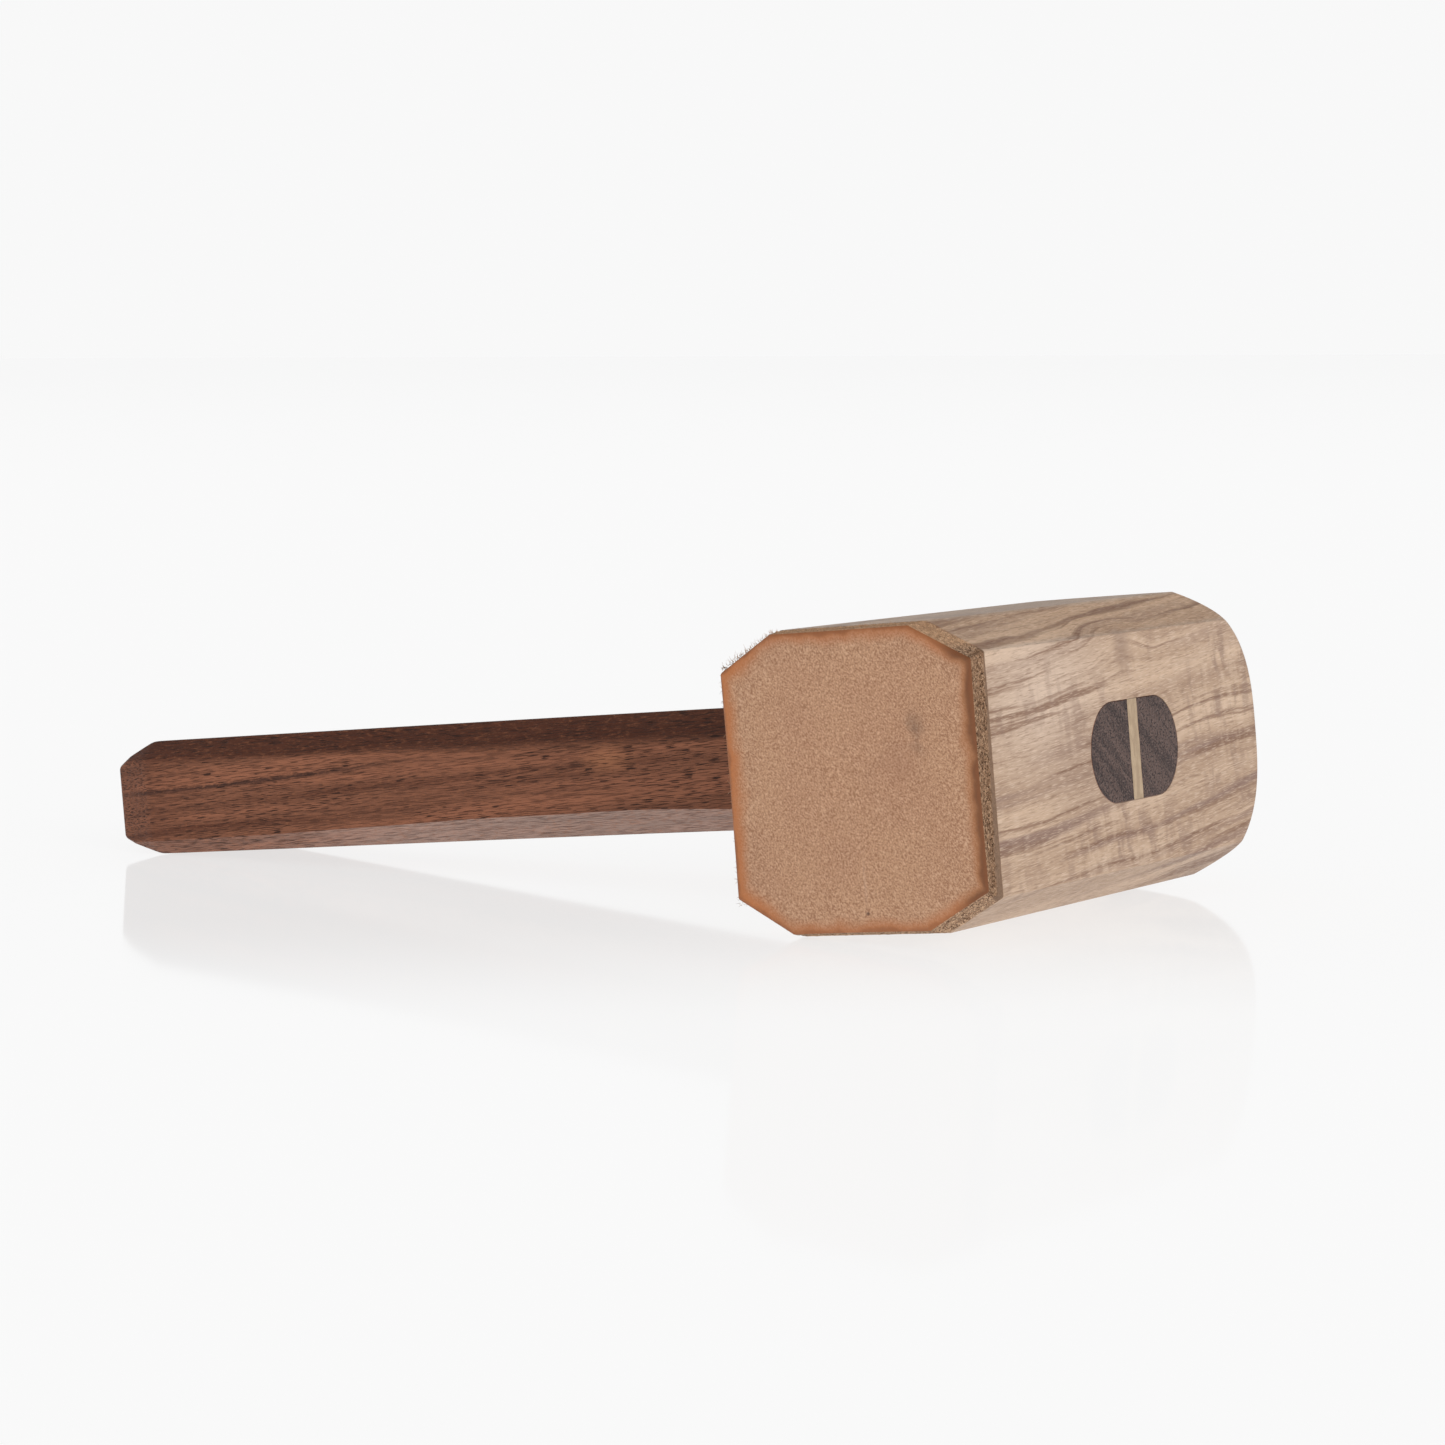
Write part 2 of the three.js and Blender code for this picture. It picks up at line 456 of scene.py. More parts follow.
def handle_section(distance):
    """The handle's outline (y, z) at a distance from the butt. Its hand-cut chamfers widen and narrow."""
    travel = distance / HANDLE_LENGTH
    # The chamfers above and below, in millimetres: wider towards the head, then a little narrower again.
    upper = 3.8 + 2.9 * ease(travel / 0.6) - 0.4 * ease((travel - 0.72) / 0.28)
    lower = 3.3 + 2.7 * ease(travel / 0.74) - 1.4 * ease((travel - 0.74) / 0.26)
    upper += 0.2 * noise.noise(Vector((distance / 24, 0.4, 0)))
    lower += 0.2 * noise.noise(Vector((distance / 24, 7.4, 0)))
    slant = 1 - distance / BUTT_CHAMFER_LENGTH
    slant = (slant + math.sqrt(slant**2 + BUTT_SOFTNESS)) / 2
    upper = max(upper - (BUTT_CHAMFER_DEPTH + HANDLE_RISE) * slant, LEAST_CHAMFER)
    lower = max(lower - BUTT_CHAMFER_DEPTH * slant, LEAST_CHAMFER)
    inset = BUTT_RIM - math.sqrt(max(0.0, BUTT_RIM**2 - max(0.0, BUTT_RIM - distance) ** 2))
    side = HANDLE_WIDTH / 2 - BUTT_SIDE_DEPTH * slant - inset
    base = -HANDLE_THICKNESS / 2 + BUTT_CHAMFER_DEPTH * slant + inset
    far_top = HANDLE_THICKNESS / 2 - BUTT_CHAMFER_DEPTH * slant - inset
    near_top = far_top + HANDLE_RISE * (1 - slant)
    corners = [
        Vector((side, base + lower)),
        Vector((side, far_top - upper)),
        Vector((side - upper, far_top)),
        Vector((-side + upper, near_top)),
        Vector((-side, near_top - upper)),
        Vector((-side, base + lower)),
        Vector((-side + lower, base)),
        Vector((side - lower, base)),
    ]
    return rounded(corners, HANDLE_EDGE, 5, [10, 4, 16, 4])


def blade(mesh, extra):
    """The wedge, thin at the bottom with its long sides a little wavy, or the kerf that it is driven into.

    The kerf stands so much extra off the wedge's sides and runs out past the tenon.
    """
    half = TENON_THICKNESS / 2
    top = HEAD_HALF_X
    parts = 24
    heights = [half * (2 * k / parts - 1) for k in range(parts + 1)]
    reach = [z * (1 + 0.2 * extra / HAIRLINE) for z in heights]
    stops = [top - WEDGE_DEPTH, top - WEDGE_DEPTH / 2, top]
    if extra:
        stops.append(top + 3)
    rings = []
    for x in stops:
        share = min((x - top + WEDGE_DEPTH) / WEDGE_DEPTH, 1)
        thick = WEDGE_TIP + (WEDGE_THICKNESS - WEDGE_TIP) * share
        right = [thick / 2 + extra + 0.16 * share * noise.noise(Vector((z / 3.4, 1, 0))) for z in heights]
        left = [-thick / 2 - extra + 0.16 * share * noise.noise(Vector((z / 4.1, 9, 0))) for z in heights]
        ring = [Vector((x, y, z)) for y, z in zip(right, reach)]
        ring += [Vector((x, y, z)) for y, z in reversed(list(zip(left, reach)))]
        rings.append(ring)
    loft(mesh, rings)


def make_handle():
    """The handle: its slightly crowned butt, its chamfered length and its tenon, with the kerf cut in.

    Slot 0 is the walnut along the grain and slot 1 its end grain.
    """
    fine_step = 0.7
    coarse_step = 2.2
    crown = [(0.12, 0.0), (0.35, 0.05), (0.6, 0.12), (0.82, 0.22)]
    rings = []
    start = handle_section(0.0)
    for kept, rise in crown:
        rings.append([Vector((BUTT + BUTT_WEAR + rise, p.x * kept, p.y * kept)) for p in start])
    rounding = [BUTT_RIM * (1 - math.cos(math.radians(a))) for a in range(0, 91, 15)]
    distances = rounding + [BUTT_RIM + fine_step * k for k in range(1, 20)]
    while distances[-1] < HANDLE_LENGTH - 3:
        distances.append(distances[-1] + coarse_step)
    distances.append(HANDLE_LENGTH - 0.02)
    for distance in distances:
        shift = (BUTT_WEAR + 0.3) * (1 - distance / HANDLE_LENGTH)
        rings.append([Vector((BUTT + distance + shift, p.x, p.y)) for p in handle_section(distance)])
    angles = [math.atan2(p.y, p.x) for p in handle_section(HANDLE_LENGTH)]
    for x in (-HEAD_HALF_X - 0.02, -HEAD_HALF_X / 2, 0.0, HEAD_HALF_X / 2, HEAD_HALF_X - 0.12):
        rings.append([Vector((x, y, z)) for y, z in (obround(angle) for angle in angles)])
    rings.append([Vector((HEAD_HALF_X, y, z)) for y, z in (obround(angle, -0.1) for angle in angles)])
    mesh = bmesh.new()
    loft(mesh, rings)
    handle = become_object("mallet_handle", mesh)
    cutter = bmesh.new()
    blade(cutter, HAIRLINE)
    cut_away(handle, become_object("kerf", cutter))
    to_mallet = LAY.inverted()
    for face in handle.data.polygons:
        middle = (to_mallet @ face.center) / MM
        at_end = middle.x > HEAD_HALF_X - 0.05 or middle.x < BUTT + BUTT_WEAR + 0.35
        face.material_index = 1 if at_end and abs(face.normal.x) > 0.8 else 0
    return handle


def make_wedge():
    """The wedge, flush with the end of the tenon."""
    mesh = bmesh.new()
    blade(mesh, 0.0)
    return become_object("tenon_wedge", mesh)


# ---------------------------------------------------------------- materials


def paint(red, green, blue):
    """A screen colour, 0 to 255, as the light it stands for."""
    levels = [value / 255 for value in (red, green, blue)]
    levels = [v / 12.92 if v <= 0.04045 else ((v + 0.055) / 1.055) ** 2.4 for v in levels]
    return (*levels, 1.0)


class Finish:
    """A material, and short ways to make and join its nodes.

    Its place gives the mallet's own coordinates in millimetres.
    """

    def __init__(self, name, roughness, gloss):
        self.material = bpy.data.materials.new(name)
        self.material.use_nodes = True
        self.tree = self.material.node_tree
        self.tree.nodes.clear()
        looks = {"Roughness": roughness, "Specular IOR Level": gloss}
        self.surface = self.add("ShaderNodeBsdfPrincipled", looks)
        output = self.add("ShaderNodeOutputMaterial", {"Surface": self.surface.outputs[0]})
        output.is_active_output = True
        where = self.add("ShaderNodeTexCoord", {}).outputs["Object"]
        self.place = self.lay_along((MM, MM, MM), (0, -math.degrees(TILT), 0), CENTRE, where)

    def add(self, kind, inputs, **settings):
        """A new node with its settings, and its inputs set to values or joined to other nodes' outputs."""
        made = self.tree.nodes.new(kind)
        for name, value in settings.items():
            setattr(made, name, value)
        for name, value in inputs.items():
            if isinstance(value, bpy.types.NodeSocket):
                self.tree.links.new(value, made.inputs[name])
            else:
                made.inputs[name].default_value = value
        return made

    def lay_along(self, size, turn=(0, 0, 0), middle=(0, 0, 0), place=None):
        """Coordinates in which a patch of that size in millimetres, turned and moved, is one unit across."""
        angles = tuple(math.radians(angle) for angle in turn)
        inputs = {"Vector": place or self.place, "Location": middle, "Rotation": angles, "Scale": size}
        return self.add("ShaderNodeMapping", inputs, vector_type="TEXTURE").outputs[0]

    def noise(self, place, detail=2.0, rough=0.5, warp=0.0):
        """Noise, 0 to 1, that changes over one unit of the place."""
        inputs = {"Vector": place, "Scale": 1.0, "Detail": detail, "Roughness": rough, "Distortion": warp}
        return self.add("ShaderNodeTexNoise", inputs).outputs["Fac"]

    def layers(self, across, thick, along, length, other, detail=2.0, rough=0.5):
        """Noise in layers of wood so thick and so long. other tells one set of layers from the next."""
        place = self.join(self.sum("DIVIDE", across, thick), self.sum("DIVIDE", along, length), other)
        return self.noise(place, detail, rough)

    def spot(self, middle, size, strength=1.0):
        """The strength at the middle, falling smoothly to 0 at the size away from it."""
        place = self.lay_along(size, middle=middle)
        ball = self.add("ShaderNodeTexGradient", {"Vector": place}, gradient_type="SPHERICAL")
        return self.between(ball.outputs["Fac"], 0.0, 1.0, 0.0, strength)

    def between(self, value, low, high, start=0.0, end=1.0):
        """value from low to high becomes start to end, gently, and stays there beyond."""
        inputs = {0: value, 1: low, 2: high, 3: start, 4: end}
        return self.add("ShaderNodeMapRange", inputs, interpolation_type="SMOOTHSTEP").outputs[0]

    def sum(self, operation, first, second=0.0, third=0.0):
        """The operation done on one, two or three values, which may be sockets."""
        inputs = {0: first, 1: second, 2: third}
        return self.add("ShaderNodeMath", inputs, operation=operation).outputs[0]

    def line(self, value, width):
        """1 where the value passes 0, falling to 0 within the width."""
        return self.between(self.sum("ABSOLUTE", value), 0.0, width, 1.0, 0.0)

    def mix(self, share, first, second, blend="MIX"):
        """The first colour, with so much of the second blended in."""
        inputs = {0: share, 6: first, 7: second}
        made = self.add("ShaderNodeMix", inputs, data_type="RGBA", blend_type=blend)
        return made.outputs[2]

    def part(self, place, axis):
        """One of the three coordinates of a place."""
        return self.add("ShaderNodeSeparateXYZ", {0: place}).outputs[axis]

    def join(self, x, y, z):
        """A place from its three coordinates."""
        return self.add("ShaderNodeCombineXYZ", {0: x, 1: y, 2: z}).outputs[0]

    def colour(self, value):
        """Gives the surface its colour."""
        self.tree.links.new(value, self.surface.inputs["Base Color"])

    def rough(self, value):
        """Gives the surface its roughness."""
        self.tree.links.new(value, self.surface.inputs["Roughness"])

    def relief(self, height, millimetres, under=None):
        """Raises the surface by the height, which is 0 to 1, so far."""
        inputs = {"Height": height, "Distance": millimetres * MM, "Strength": 1.0}
        if under:
            inputs["Normal"] = under
        made = self.add("ShaderNodeBump", inputs).outputs[0]
        self.tree.links.new(made, self.surface.inputs["Normal"])
        return made


def maple():
    """Curly maple: growth layers along the strike axis, rising a little to the dome, with curl across."""
    f = Finish("curly_maple", 0.5, 0.3)
    turn = (4.2, 0, 0)
    grain = f.lay_along((1, 1, 1), turn)
    wander = f.noise(f.lay_along((34, 110, 34), turn), 2.0)
    ripple = f.noise(f.lay_along((9, 17, 9), turn), 2.0)
    figure = f.spot((HEAD_HALF_X, -4, HEAD_HALF_Z - 5), (9, 20, 15))
    across = f.sum("MULTIPLY_ADD", f.part(grain, 0), -0.16, f.part(grain, 2))
    across = f.sum("MULTIPLY_ADD", wander, 9.0, across)
    across = f.sum("MULTIPLY_ADD", ripple, 1.7, across)
    across = f.sum("MULTIPLY_ADD", figure, -4.0, across)
    along = f.part(grain, 1)
    bands = f.layers(across, 6.5, along, 240.0, 0.0, 3.0)
    broad = f.layers(across, 5.0, along, 150.0, 5.0)
    lines = f.layers(across, 1.9, along, 110.0, 9.0, 2.0, 0.6)
    fine = f.layers(across, 0.75, along, 42.0, 3.0)
    fibre = f.noise(f.lay_along((0.3, 4.5, 0.3), turn), 3.0, 0.6)
    fleck = f.noise(f.lay_along((0.4, 3.6, 0.24), turn), 1.0)
    curl = f.noise(f.lay_along((13, 4.6, 10), (10, 0, 0), (0, 0, 40)), 2.0, 0.6, 0.2)
    where_curly = f.noise(f.lay_along((30, 34, 15), (4, 0, 0), (0, 13, 5)), 1.0)
    curly = f.between(where_curly, 0.42, 0.66, 0.0, 0.6)
    curly = f.sum("ADD", curly, f.spot((HEAD_HALF_X, 46, 8), (20, 34, 26)))
    curly = f.sum("ADD", curly, f.spot((HEAD_HALF_X, -8, -20), (20, 52, 15)))
    curly = f.sum("MINIMUM", curly, 1.0)
    low = f.between(f.part(grain, 2), 14.0, -8.0)

    tone = f.mix(f.between(bands, 0.34, 0.6), paint(206, 177, 151), paint(178, 148, 123))
    # Painted light: a paler, whiter patch on the top face towards the leather, standing in for a soft sheen
    # of light there.
    painted_sheen = f.spot((HEAD_HALF_X, -40, 15), (24, 44, 26), 0.75)
    tone = f.mix(painted_sheen, tone, paint(217, 193, 173))
    greyed = f.sum("MULTIPLY", f.between(broad, 0.5, 0.66), f.between(low, 0.0, 1.0, 0.35, 1.0))
    tone = f.mix(greyed, tone, paint(142, 113, 98))
    shaded = f.spot((HEAD_HALF_X, -20, -3), (24, 36, 16), 0.52)
    tone = f.mix(shaded, tone, paint(146, 118, 101))
    height = f.part(f.place, 2)
    quiet = f.between(height, HEAD_HALF_Z - 0.8, HEAD_HALF_Z - 0.1, 1.0, 0.45)
    dark_line = f.sum("MULTIPLY", f.between(lines, 0.54, 0.68, 0.0, 0.85), quiet)
    tone = f.mix(dark_line, tone, paint(128, 93, 70))
    tone = f.mix(f.between(fine, 0.5, 0.72, 0.0, 0.35), tone, paint(142, 111, 90))
    shade = f.sum("MULTIPLY", f.between(curl, 0.48, 0.64, 0.0, 0.62), curly)
    tone = f.mix(shade, tone, paint(136, 107, 92))
    light = f.sum("MULTIPLY", f.between(curl, 0.48, 0.34, 0.0, 0.28), curly)
    tone = f.mix(light, tone, paint(222, 196, 171))
    tone = f.mix(f.between(fibre, 0.53, 0.66, 0.0, 0.42), tone, paint(122, 92, 72))
    tone = f.mix(f.between(fleck, 0.52, 0.68, 0.0, 0.4), tone, paint(226, 202, 180))
    knot = f.spot((HEAD_HALF_X, -3, HEAD_HALF_Z - 9), (4, 6, 11), 0.45)
    tone = f.mix(knot, tone, paint(124, 96, 82))
    flank = f.between(height, HEAD_HALF_Z - HEAD_CHAMFER_Z, HEAD_HALF_Z - HEAD_CHAMFER_Z + 1.0)
    flank = f.sum("MULTIPLY", flank, f.between(height, HEAD_HALF_Z - 0.1, HEAD_HALF_Z - 0.8))
    tone = f.mix(flank, tone, (1.06, 0.97, 0.86, 1.0), "MULTIPLY")
    flank_line = f.sum("MULTIPLY", flank, f.between(lines, 0.5, 0.6, 0.0, 0.5))
    tone = f.mix(flank_line, tone, paint(124, 84, 56))
    f.colour(tone)
    f.rough(f.between(fibre, 0.3, 0.7, 0.42, 0.6))
    under = f.relief(fibre, 0.05)
    f.relief(f.between(curl, 0.3, 0.7), 0.05, under)
    return f.material


def walnut():
    """Walnut along the handle: reddish brown with darker streaks, and pores like short dark dashes."""
    f = Finish("walnut", 0.45, 0.16)
    turn = (0, -2.6, 0)
    grain = f.lay_along((1, 1, 1), turn, (BUTT, 0, 0))
    wander = f.noise(f.lay_along((80, 20, 20), turn), 2.0)
    across = f.sum("MULTIPLY_ADD", f.part(grain, 1), 0.25, f.part(grain, 2))
    across = f.sum("MULTIPLY_ADD", wander, 9.0, across)
    along = f.part(grain, 0)
    bands = f.layers(across, 4.2, along, 190.0, 0.0, 4.0, 0.55)
    fine = f.layers(across, 0.8, along, 40.0, 2.0)
    pores = f.noise(f.lay_along((3.8, 0.3, 0.21), turn), 0.5, 0.5)
    clusters = f.noise(f.lay_along((26, 6, 5), turn), 2.0)
    mottle = f.noise(f.lay_along((1.6, 0.7, 0.6), turn), 3.0, 0.6)
    height = f.part(f.place, 2)
    run = f.sum("SUBTRACT", f.part(f.place, 0), BUTT)
    side = f.part(f.place, 1)

    dark = paint(78, 38, 23)
    tone = f.mix(f.between(bands, 0.35, 0.6), paint(157, 101, 75), paint(131, 84, 62))
    tone = f.mix(f.between(bands, 0.54, 0.72, 0.0, 0.75), tone, dark)
    tone = f.mix(f.between(fine, 0.5, 0.72, 0.0, 0.35), tone, paint(84, 52, 39))
    top = f.sum("MULTIPLY_ADD", run, 0.006, height)
    top = f.sum("MULTIPLY_ADD", wander, 3.0, top)
    tone = f.mix(f.between(top, 10.0, 12.4, 0.0, 0.86), tone, dark)
    # Painted light: the lower chamfers, facing down, are painted paler grey, more so towards the head,
    # standing in for light thrown up off the white table. The pores show less there.
    facing = f.part(f.add("ShaderNodeNewGeometry", {}).outputs["Normal"], 2)
    painted_table_light = f.sum("MULTIPLY", f.between(facing, -0.4, -0.6), f.between(facing, -0.95, -0.85))
    painted_table_light = f.sum("MULTIPLY", painted_table_light, f.between(run, 30.0, 95.0, 0.1, 0.43))
    tone = f.mix(painted_table_light, tone, paint(203, 182, 172))
    climb = f.sum("MULTIPLY_ADD", f.sum("MULTIPLY", run, run), 0.0003, f.sum("MULTIPLY", run, 0.03))
    streak = f.sum("SUBTRACT", f.sum("SUBTRACT", height, climb), 1.7)
    streak = f.sum("MULTIPLY_ADD", f.sum("SUBTRACT", mottle, 0.5), 1.8, streak)
    streak = f.sum("MULTIPLY", f.line(streak, 1.05), f.between(run, 55.0, 110.0, 0.85, 0.0))
    streak = f.sum("MULTIPLY", streak, f.between(clusters, 0.3, 0.5, 0.55, 1.0))
    streak = f.sum("MULTIPLY", streak, f.between(side, -8.0, 0.0, 1.0, 0.0))
    tone = f.mix(streak, tone, paint(52, 32, 28))
    patch = f.spot((-92, -HANDLE_WIDTH / 2, 4.6), (10, 6, 4.5), 0.7)
    tone = f.mix(patch, tone, paint(172, 114, 80))
    tone = f.mix(f.between(mottle, 0.5, 0.7, 0.0, 0.35), tone, paint(168, 110, 78))
    dashes = f.sum("MULTIPLY", f.between(pores, 0.57, 0.65), f.between(clusters, 0.36, 0.56, 0.35, 0.95))
    dashes = f.sum("MULTIPLY", dashes, f.between(painted_table_light, 0.0, 0.5, 1.0, 0.3))
    hairs = f.noise(f.lay_along((5.4, 0.26, 0.18), turn, (3, 2, 1)), 0.5, 0.5)
    tone = f.mix(f.between(hairs, 0.53, 0.64, 0.0, 0.5), tone, paint(70, 40, 28))
    tone = f.mix(dashes, tone, paint(52, 28, 19))
    tone = f.mix(f.between(run, 34.0, 8.0, 0.0, 0.22), tone, dark)
    f.colour(tone)
    f.rough(f.between(mottle, 0.3, 0.7, 0.38, 0.52))
    f.relief(f.between(pores, 0.52, 0.66, 1.0, 0.0), 0.06)
    return f.material


def walnut_end():
    """Walnut cut across: dark grey brown, full of fine pores, with faint slanting growth rings."""
    f = Finish("walnut_end_grain", 0.5, 0.18)
    rings = f.noise(f.lay_along((40, 26, 2.2), (-40, 0, 0)), 2.0)
    pores = f.noise(f.lay_along((6, 0.75, 0.5)), 1.0)
    grit = f.noise(f.lay_along((3, 0.6, 0.4), (0, 0, 0), (1, 2, 3)), 1.0)
    tone = f.mix(f.between(rings, 0.4, 0.6), paint(90, 71, 65), paint(62, 47, 44))
    tone = f.mix(f.between(pores, 0.52, 0.62, 0.0, 0.85), tone, paint(34, 24, 23))
    tone = f.mix(f.between(grit, 0.52, 0.64, 0.0, 0.42), tone, paint(122, 102, 95))
    f.colour(tone)
    f.relief(f.between(pores, 0.5, 0.66, 1.0, 0.0), 0.06)
    return f.material


def wedge_maple():
    """The pale wedge, cut across at the top."""
    f = Finish("pale_maple", 0.5, 0.3)
    streaks = f.noise(f.lay_along((9, 1.2, 3.4)), 3.0)
    grit = f.noise(f.lay_along((2.5, 0.22, 0.4)), 2.0)
    tone = f.mix(f.between(streaks, 0.35, 0.65), paint(186, 162, 133), paint(168, 144, 117))
    tone = f.mix(f.between(grit, 0.52, 0.7, 0.0, 0.35), tone, paint(138, 112, 88))
    f.colour(tone)
    f.relief(grit, 0.04)
    return f.material


def leather_grain():
    """Vegetable-tanned leather: finely wrinkled, darker and redder where its edge was rubbed."""
    f = Finish("tan_leather", 0.55, 0.3)
    rim = f.add("ShaderNodeAttribute", {}, attribute_name="rim").outputs["Fac"]
    wander = f.noise(f.lay_along((5, 5, 5)), 3.0)
    cloud = f.noise(f.lay_along((17, 17, 17)), 3.0)
    wrinkle = f.noise(f.lay_along((0.3, 0.38, 0.48), (0, -38, 0)), 1.5, 0.6, 0.6)
    speckle = f.noise(f.lay_along((0.28, 0.28, 0.28)), 1.0)
    pebble = f.add("ShaderNodeTexVoronoi", {"Vector": f.lay_along((0.62, 0.62, 0.62)), "Scale": 1.0})
    pebble = pebble.outputs["Distance"]

    tone = f.mix(f.between(cloud, 0.3, 0.7), paint(193, 150, 117), paint(186, 142, 111))
    tone = f.mix(f.between(wrinkle, 0.5, 0.61, 0.0, 0.78), tone, paint(152, 108, 80))
    tone = f.mix(f.between(wrinkle, 0.48, 0.35, 0.0, 0.68), tone, paint(217, 176, 146))
    tone = f.mix(f.between(speckle, 0.55, 0.7, 0.0, 0.3), tone, paint(140, 98, 74))
    edge = f.sum("MULTIPLY_ADD", f.sum("SUBTRACT", wander, 0.5), 3.2, rim)
    tone = f.mix(f.between(edge, 0.9, 4.3, 0.9, 0.0), tone, paint(180, 114, 71))
    left = f.between(f.part(f.place, 0), -16.0, -27.0)
    right = f.between(f.part(f.place, 0), 22.0, 27.0)
    left_band = f.sum("MULTIPLY", f.between(edge, 1.5, 6.4, 0.75, 0.0), left)
    right_band = f.sum("MULTIPLY", f.between(edge, 1.5, 5.0, 0.6, 0.0), right)
    right_rim = f.sum("MULTIPLY", f.between(edge, 0.7, 3.0, 0.95, 0.0), right)
    tone = f.mix(left_band, tone, paint(190, 117, 67))
    tone = f.mix(right_band, tone, paint(160, 106, 66))
    tone = f.mix(right_rim, tone, paint(92, 57, 35))
    tone = f.mix(f.between(edge, 0.8, 1.9, 0.6, 0.0), tone, paint(138, 84, 50))

    smudge = f.spot((15.2, LEATHER_FRONT, 9.0), (5.5, 4, 7.5))
    smudge = f.sum("MULTIPLY", smudge, f.between(wander, 0.38, 0.62, 0.0, 0.7))
    tone = f.mix(smudge, tone, paint(116, 90, 74))
    smear = f.spot((12.5, LEATHER_FRONT, 3.5), (7, 4, 7), 0.25)
    tone = f.mix(smear, tone, paint(150, 104, 82))
    speck = f.spot((1.6, LEATHER_FRONT, -27.0), (0.75, 2, 0.6), 0.9)
    tone = f.mix(speck, tone, paint(72, 44, 40))
    scratch = f.spot((1.6, LEATHER_FRONT, -20.5), (0.5, 2, 7.5), 0.35)
    tone = f.mix(scratch, tone, paint(206, 170, 146))
    f.colour(tone)
    f.rough(f.between(edge, 0.9, 4.5, 0.42, 0.6))
    under = f.relief(pebble, 0.05)
    f.relief(wrinkle, 0.12, under)
    return f.material


def leather_cut():
    """The leather's cut edge: matted fibres with dark hollows, sliced smooth at the back of one side."""
    f = Finish("leather_fibres", 0.85, 0.15)
    clumps = f.noise(f.lay_along((0.9, 0.8, 0.9)), 3.0, 0.6)
    threads = f.noise(f.lay_along((0.34, 0.28, 0.6), (0, 0, 30)), 3.0, 0.6, 1.2)
    tone = f.mix(f.between(clumps, 0.35, 0.62), paint(156, 121, 95), paint(208, 170, 138))
    tone = f.mix(f.between(threads, 0.5, 0.6, 0.0, 0.95), tone, paint(62, 42, 31))
    tone = f.mix(f.between(threads, 0.43, 0.33, 0.0, 0.8), tone, paint(236, 208, 178))
    along = f.part(f.place, 0)
    height = f.part(f.place, 2)
    facing_out = f.between(along, HEAD_HALF_X - 1.8, HEAD_HALF_X - 0.8)
    # Painted light: the cut edge on the pad's upper side is painted paler, standing in for light from above.
    painted_light_above = f.between(height, HEAD_HALF_Z - 6.5, HEAD_HALF_Z - 4.5, 0.0, 0.4)
    tone = f.mix(facing_out, tone, (0.7, 0.66, 0.62, 1.0), "MULTIPLY")
    tone = f.mix(painted_light_above, tone, paint(232, 184, 142))
    back = f.sum("MULTIPLY_ADD", height, -2.4 / HEAD_THICKNESS, f.part(f.place, 1))
    back = f.sum("MULTIPLY_ADD", clumps, 2.4, back)
    sliced = f.between(back, -HEAD_TO_LEATHER - 0.4, -HEAD_TO_LEATHER + 0.2, 0.0, 0.85)
    sliced = f.sum("MULTIPLY", sliced, f.between(along, HEAD_HALF_X - 2.0, HEAD_HALF_X - 1.2))
    tone = f.mix(sliced, tone, paint(136, 110, 91))
    f.colour(tone)
    under = f.relief(threads, 0.25)
    f.relief(clumps, 0.3, under)
    return f.material


# ---------------------------------------------------------------- the pieces

finish_piece(make_head(), "head", "head_maple", maple())
finish_piece(make_leather(), "leather_pad", "leather", leather_grain(), leather_cut())
finish_piece(make_handle(), "handle", "handle_walnut", walnut(), walnut_end())
finish_piece(make_wedge(), "wedge", "wedge_maple", wedge_maple())


# ---------------------------------------------------------------- floor, light and camera

# Lengths are in metres here, angles in degrees, and the camera's lens and sensor in millimetres.
TABLE_HALF = 30
TABLE_MATT = 0.16
TABLE_GLOW = 0.858
TABLE_ROUGHNESS = 0.07
TABLE_FRONT = (0.554, -0.833, 0.0)
POLISH_BEHIND = 0.185
POLISH_IN_FRONT = 0.03
POLISH_FADES = (0.06, 0.23)
SKY_HORIZON = 0.94
SKY_OVERHEAD = 0.36
SKY_FADES = (0.12, 0.8)
LAMP_WAY = (1.2, -0.5, 0.32)
LAMP_SPREAD = 37
LAMP_STRENGTH = 1.08
CAMERA_PLACE = (0.54816, -0.82422, 0.12349)
CAMERA_TURN = (84.9364, 0.2764, 32.2579)
CAMERA_LENS = 107.1
CAMERA_SENSOR = 36.0


def fade(tree, value, span, start, end):
    """The value over the span turned smoothly into start to end, which it keeps beyond."""
    made = tree.nodes.new("ShaderNodeMapRange")
    made.interpolation_type = "SMOOTHSTEP"
    for index, number in enumerate((*span, start, end), 1):
        made.inputs[index].default_value = number
    tree.links.new(value, made.inputs[0])
    return made.outputs[0]


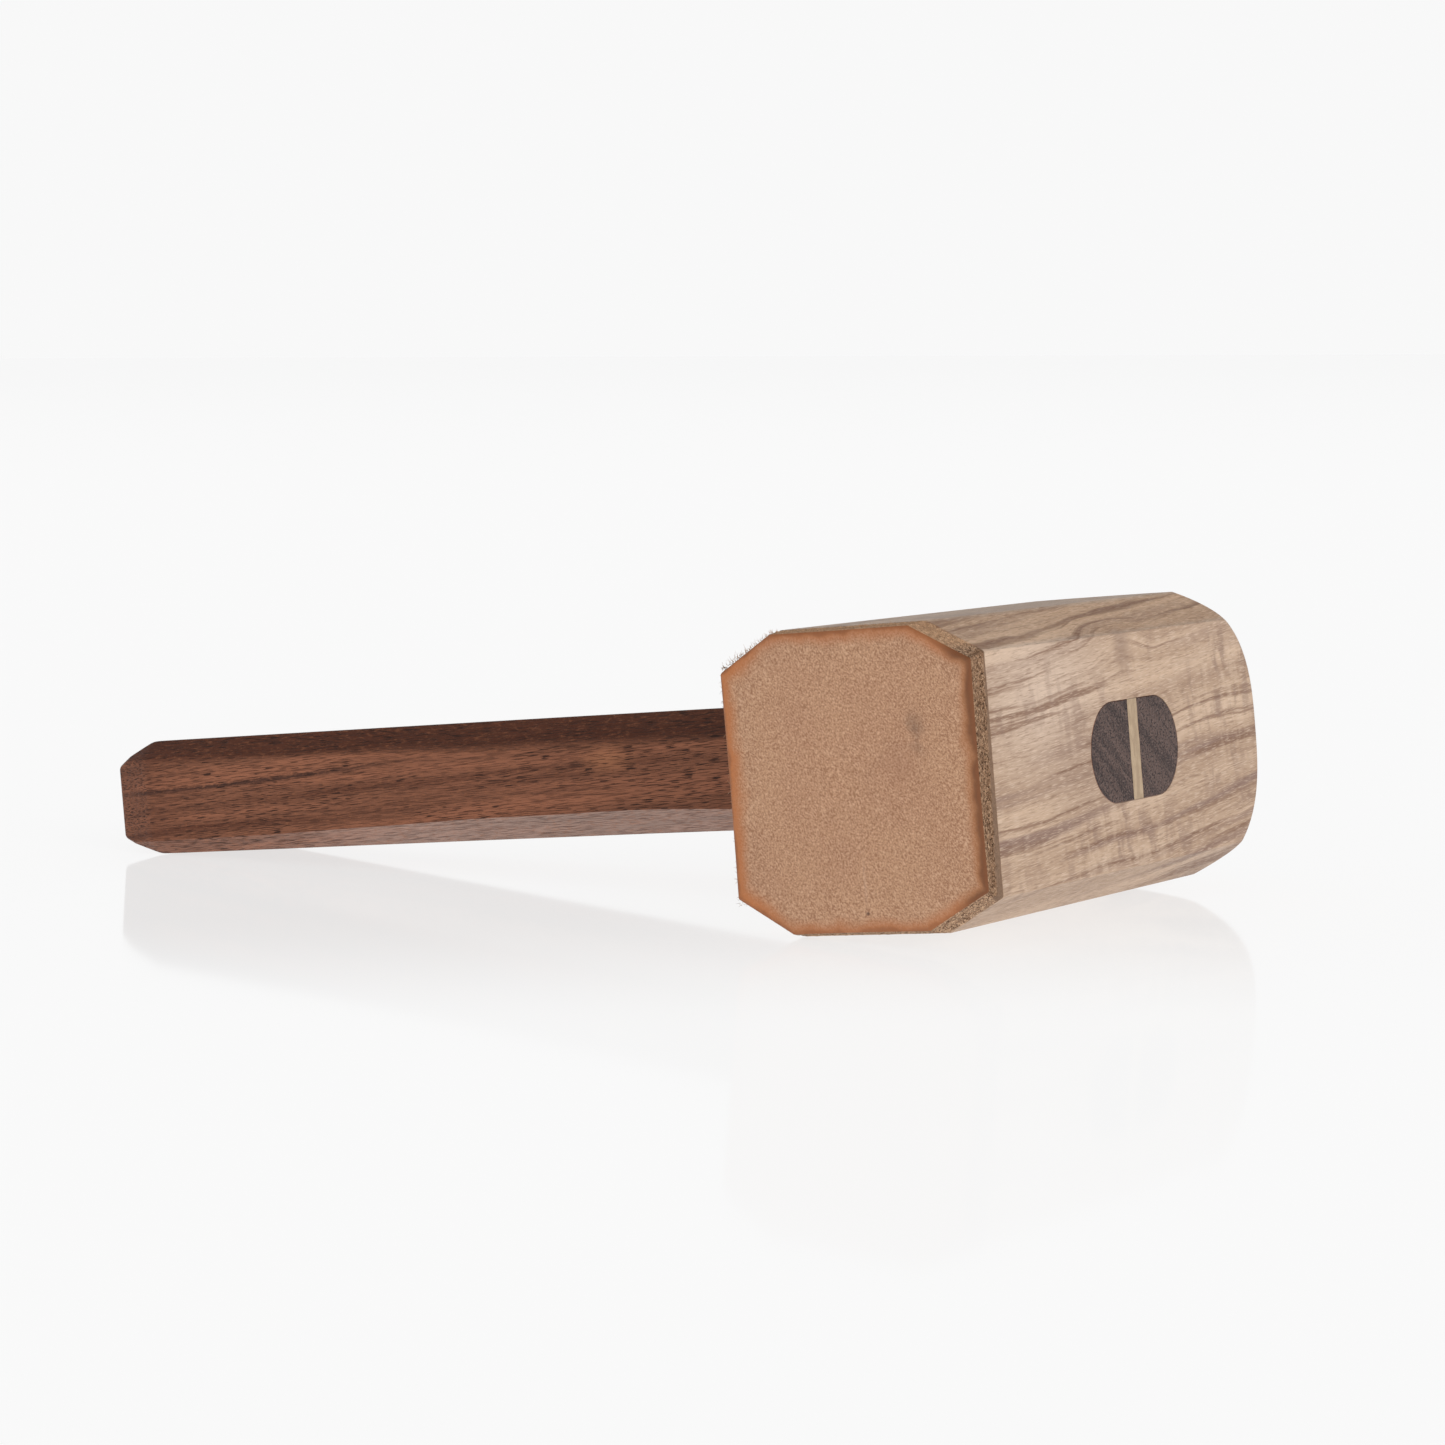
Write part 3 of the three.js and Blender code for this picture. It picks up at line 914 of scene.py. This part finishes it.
def table_material():
    """White and glossy, its polish dulling towards the front."""
    material = bpy.data.materials.new("white_table")
    material.use_nodes = True
    tree = material.node_tree
    tree.nodes.clear()
    glow = tree.nodes.new("ShaderNodeEmission")
    glow.inputs["Color"].default_value = (1, 1, 1, 1)
    glow.inputs["Strength"].default_value = TABLE_GLOW
    matt = tree.nodes.new("ShaderNodeBsdfDiffuse")
    matt.inputs["Color"].default_value = (TABLE_MATT, TABLE_MATT, TABLE_MATT, 1)
    base = tree.nodes.new("ShaderNodeAddShader")
    shine = tree.nodes.new("ShaderNodeBsdfGlossy")
    shine.inputs["Color"].default_value = (1, 1, 1, 1)
    shine.inputs["Roughness"].default_value = TABLE_ROUGHNESS
    where = tree.nodes.new("ShaderNodeTexCoord")
    forward = tree.nodes.new("ShaderNodeVectorMath")
    forward.operation = "DOT_PRODUCT"
    forward.inputs[1].default_value = TABLE_FRONT
    tree.links.new(where.outputs["Object"], forward.inputs[0])
    polish = fade(tree, forward.outputs["Value"], POLISH_FADES, POLISH_BEHIND, POLISH_IN_FRONT)
    both = tree.nodes.new("ShaderNodeMixShader")
    output = tree.nodes.new("ShaderNodeOutputMaterial")
    tree.links.new(glow.outputs[0], base.inputs[0])
    tree.links.new(matt.outputs[0], base.inputs[1])
    tree.links.new(polish, both.inputs[0])
    tree.links.new(base.outputs[0], both.inputs[1])
    tree.links.new(shine.outputs[0], both.inputs[2])
    tree.links.new(both.outputs[0], output.inputs["Surface"])
    return material


def make_floor():
    """A wide pale table."""
    mesh = bmesh.new()
    bmesh.ops.create_grid(mesh, x_segments=1, y_segments=1, size=TABLE_HALF)
    data = bpy.data.meshes.new("table")
    mesh.to_mesh(data)
    mesh.free()
    table = bpy.data.objects.new("table", data)
    bpy.context.collection.objects.link(table)
    data.materials.append(table_material())


def make_sky():
    """A white studio: bright all round the horizon, dimmer overhead."""
    world = bpy.data.worlds.new("studio")
    world.use_nodes = True
    tree = world.node_tree
    where = tree.nodes.new("ShaderNodeTexCoord")
    parts = tree.nodes.new("ShaderNodeSeparateXYZ")
    tree.links.new(where.outputs["Generated"], parts.inputs[0])
    height = parts.outputs[2]
    shade = fade(tree, height, SKY_FADES, SKY_HORIZON, SKY_OVERHEAD)
    tree.links.new(shade, tree.nodes["Background"].inputs["Color"])
    bpy.context.scene.world = world


def make_lamp(name, way, spread, strength):
    """A soft light from far off, the way given. It isn't seen itself, nor mirrored in anything glossy."""
    light = bpy.data.lights.new(name, "SUN")
    light.angle = math.radians(spread)
    light.energy = strength
    lamp = bpy.data.objects.new(name, light)
    bpy.context.collection.objects.link(lamp)
    lamp.location = Vector(way)
    lamp.rotation_euler = Vector(way).to_track_quat("Z", "Y").to_euler()
    lamp.visible_camera = False
    lamp.visible_glossy = False


def make_camera():
    """The view from a little above the table, with the leather on the left and the tenon on the right."""
    data = bpy.data.cameras.new("camera")
    data.sensor_width = CAMERA_SENSOR
    data.lens = CAMERA_LENS
    camera = bpy.data.objects.new("camera", data)
    bpy.context.collection.objects.link(camera)
    camera.location = CAMERA_PLACE
    camera.rotation_euler = tuple(math.radians(angle) for angle in CAMERA_TURN)
    bpy.context.scene.camera = camera


make_floor()
make_sky()
make_lamp("soft_light_right", LAMP_WAY, LAMP_SPREAD, LAMP_STRENGTH)
make_camera()
bpy.context.scene.view_settings.view_transform = "Standard"
